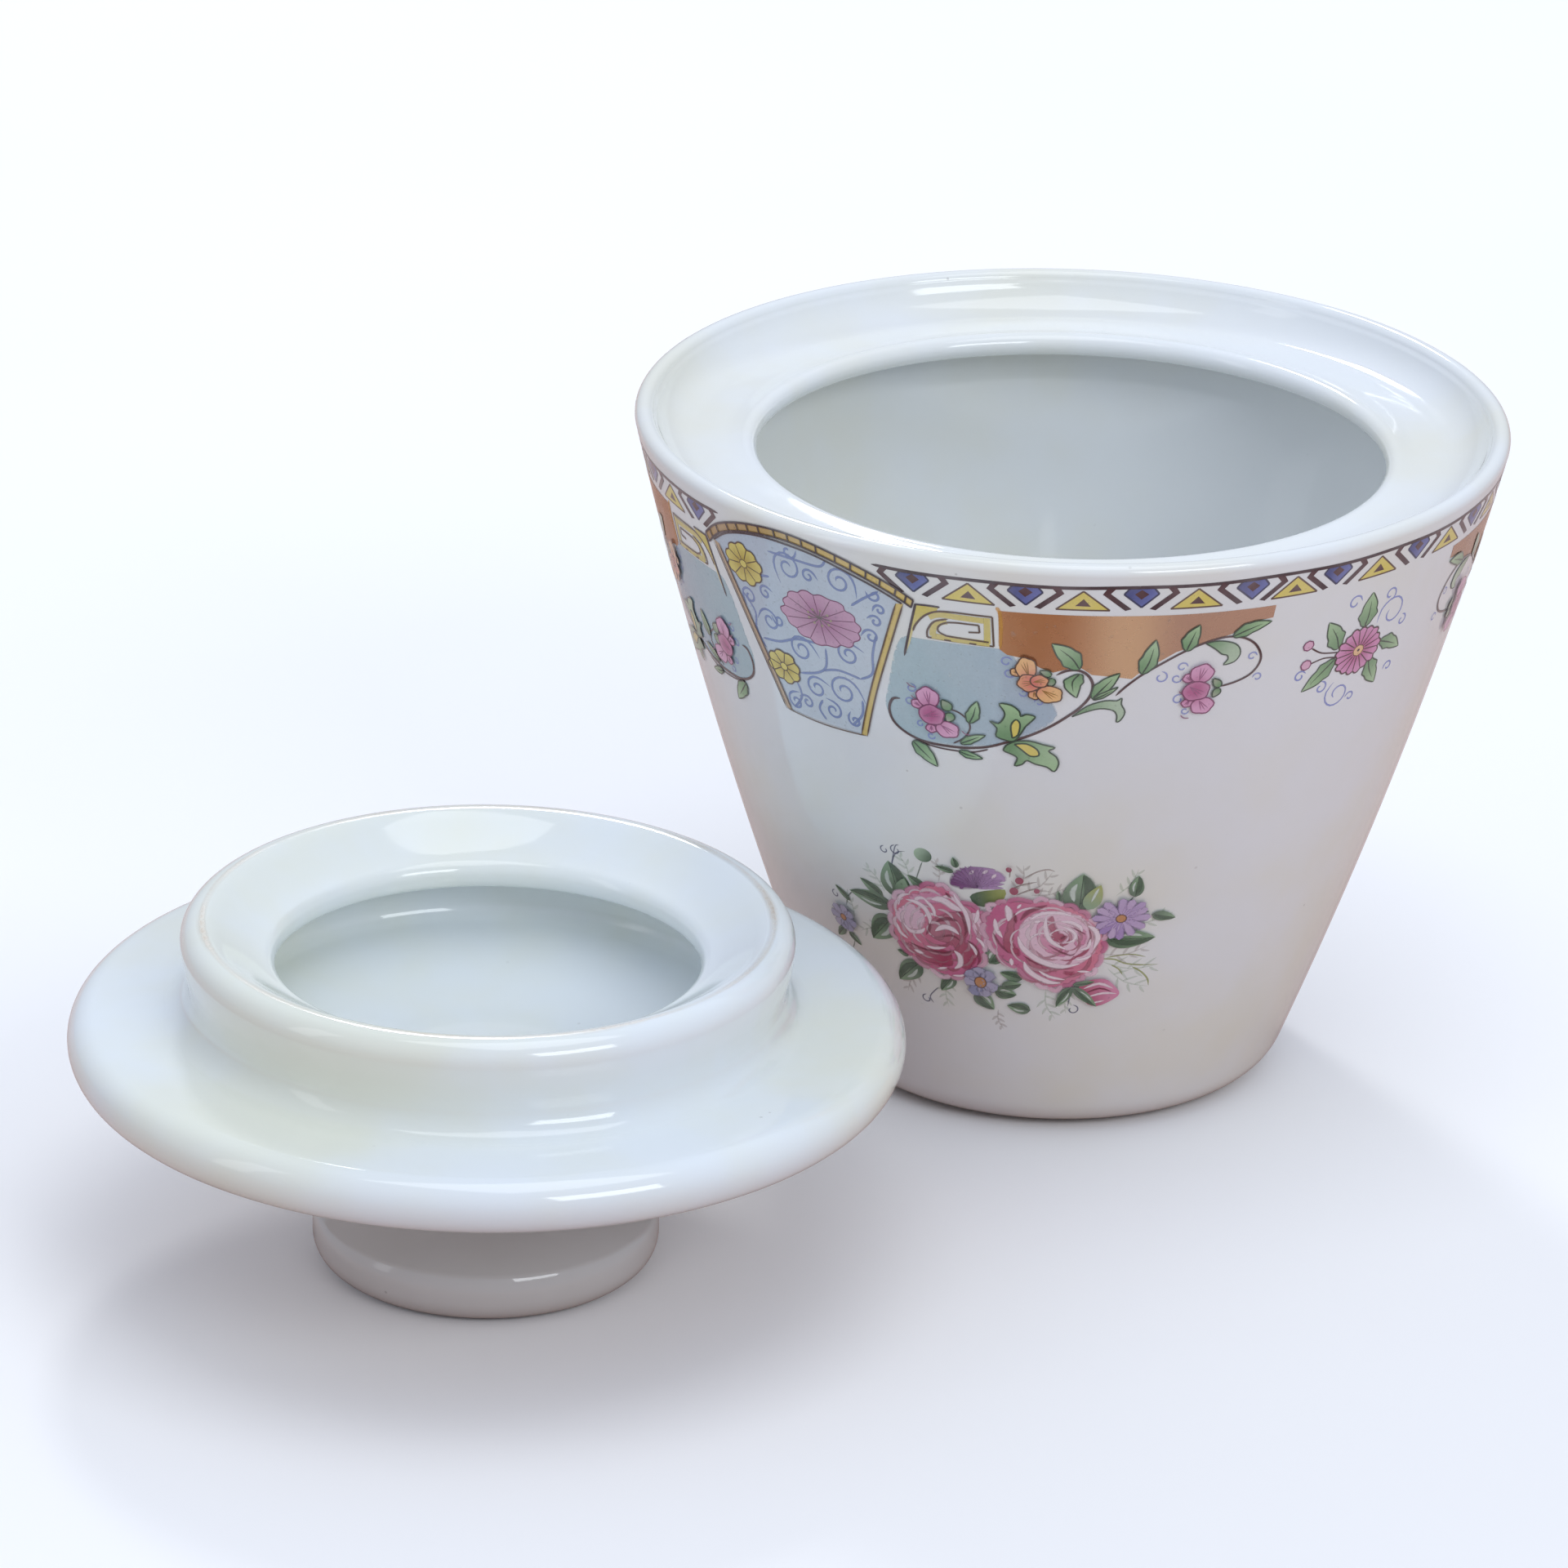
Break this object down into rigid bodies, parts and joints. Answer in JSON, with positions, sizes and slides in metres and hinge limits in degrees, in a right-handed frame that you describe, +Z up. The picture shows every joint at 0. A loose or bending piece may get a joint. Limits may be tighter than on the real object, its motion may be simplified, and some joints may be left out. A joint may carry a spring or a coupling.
{
  "type": "powder jar",
  "caption": "Tapered porcelain powder jar with a ledge inside its rim, and its round collared lid with a wide disc knob, lying upside down beside it.",
  "frame": {"origin": "on the table, in the middle of the ground that the jar and the lid cover together", "axes": "+Z up along the jar's axis, -Y towards the front, +X to the right; the lid lies to the front left of the jar"},
  "size_m": [0.1916, 0.1882, 0.0943],
  "materials": {
    "jar_glaze": "glossy clear glaze over white porcelain, decorated on the outside with fired floral transfers and copper lustre",
    "lid_glaze": "glossy clear glaze over white porcelain, bare at the end of the collar",
    "knob_glaze": "glossy clear glaze over white porcelain"
  },
  "bodies": {
    "jar": {"jar_body": "jar_glaze"},
    "lid": {"lid_body": "lid_glaze", "lid_knob": "knob_glaze"}
  },
  "joints": [
    {"name": "lid_turn", "type": "hinge", "parent": "jar", "child": "lid", "pos_m": [-0.00245, -0.00245, 0.0718], "axis": [-0.6909, 0.723, 0], "range_deg": [0, 180]}
  ]
}
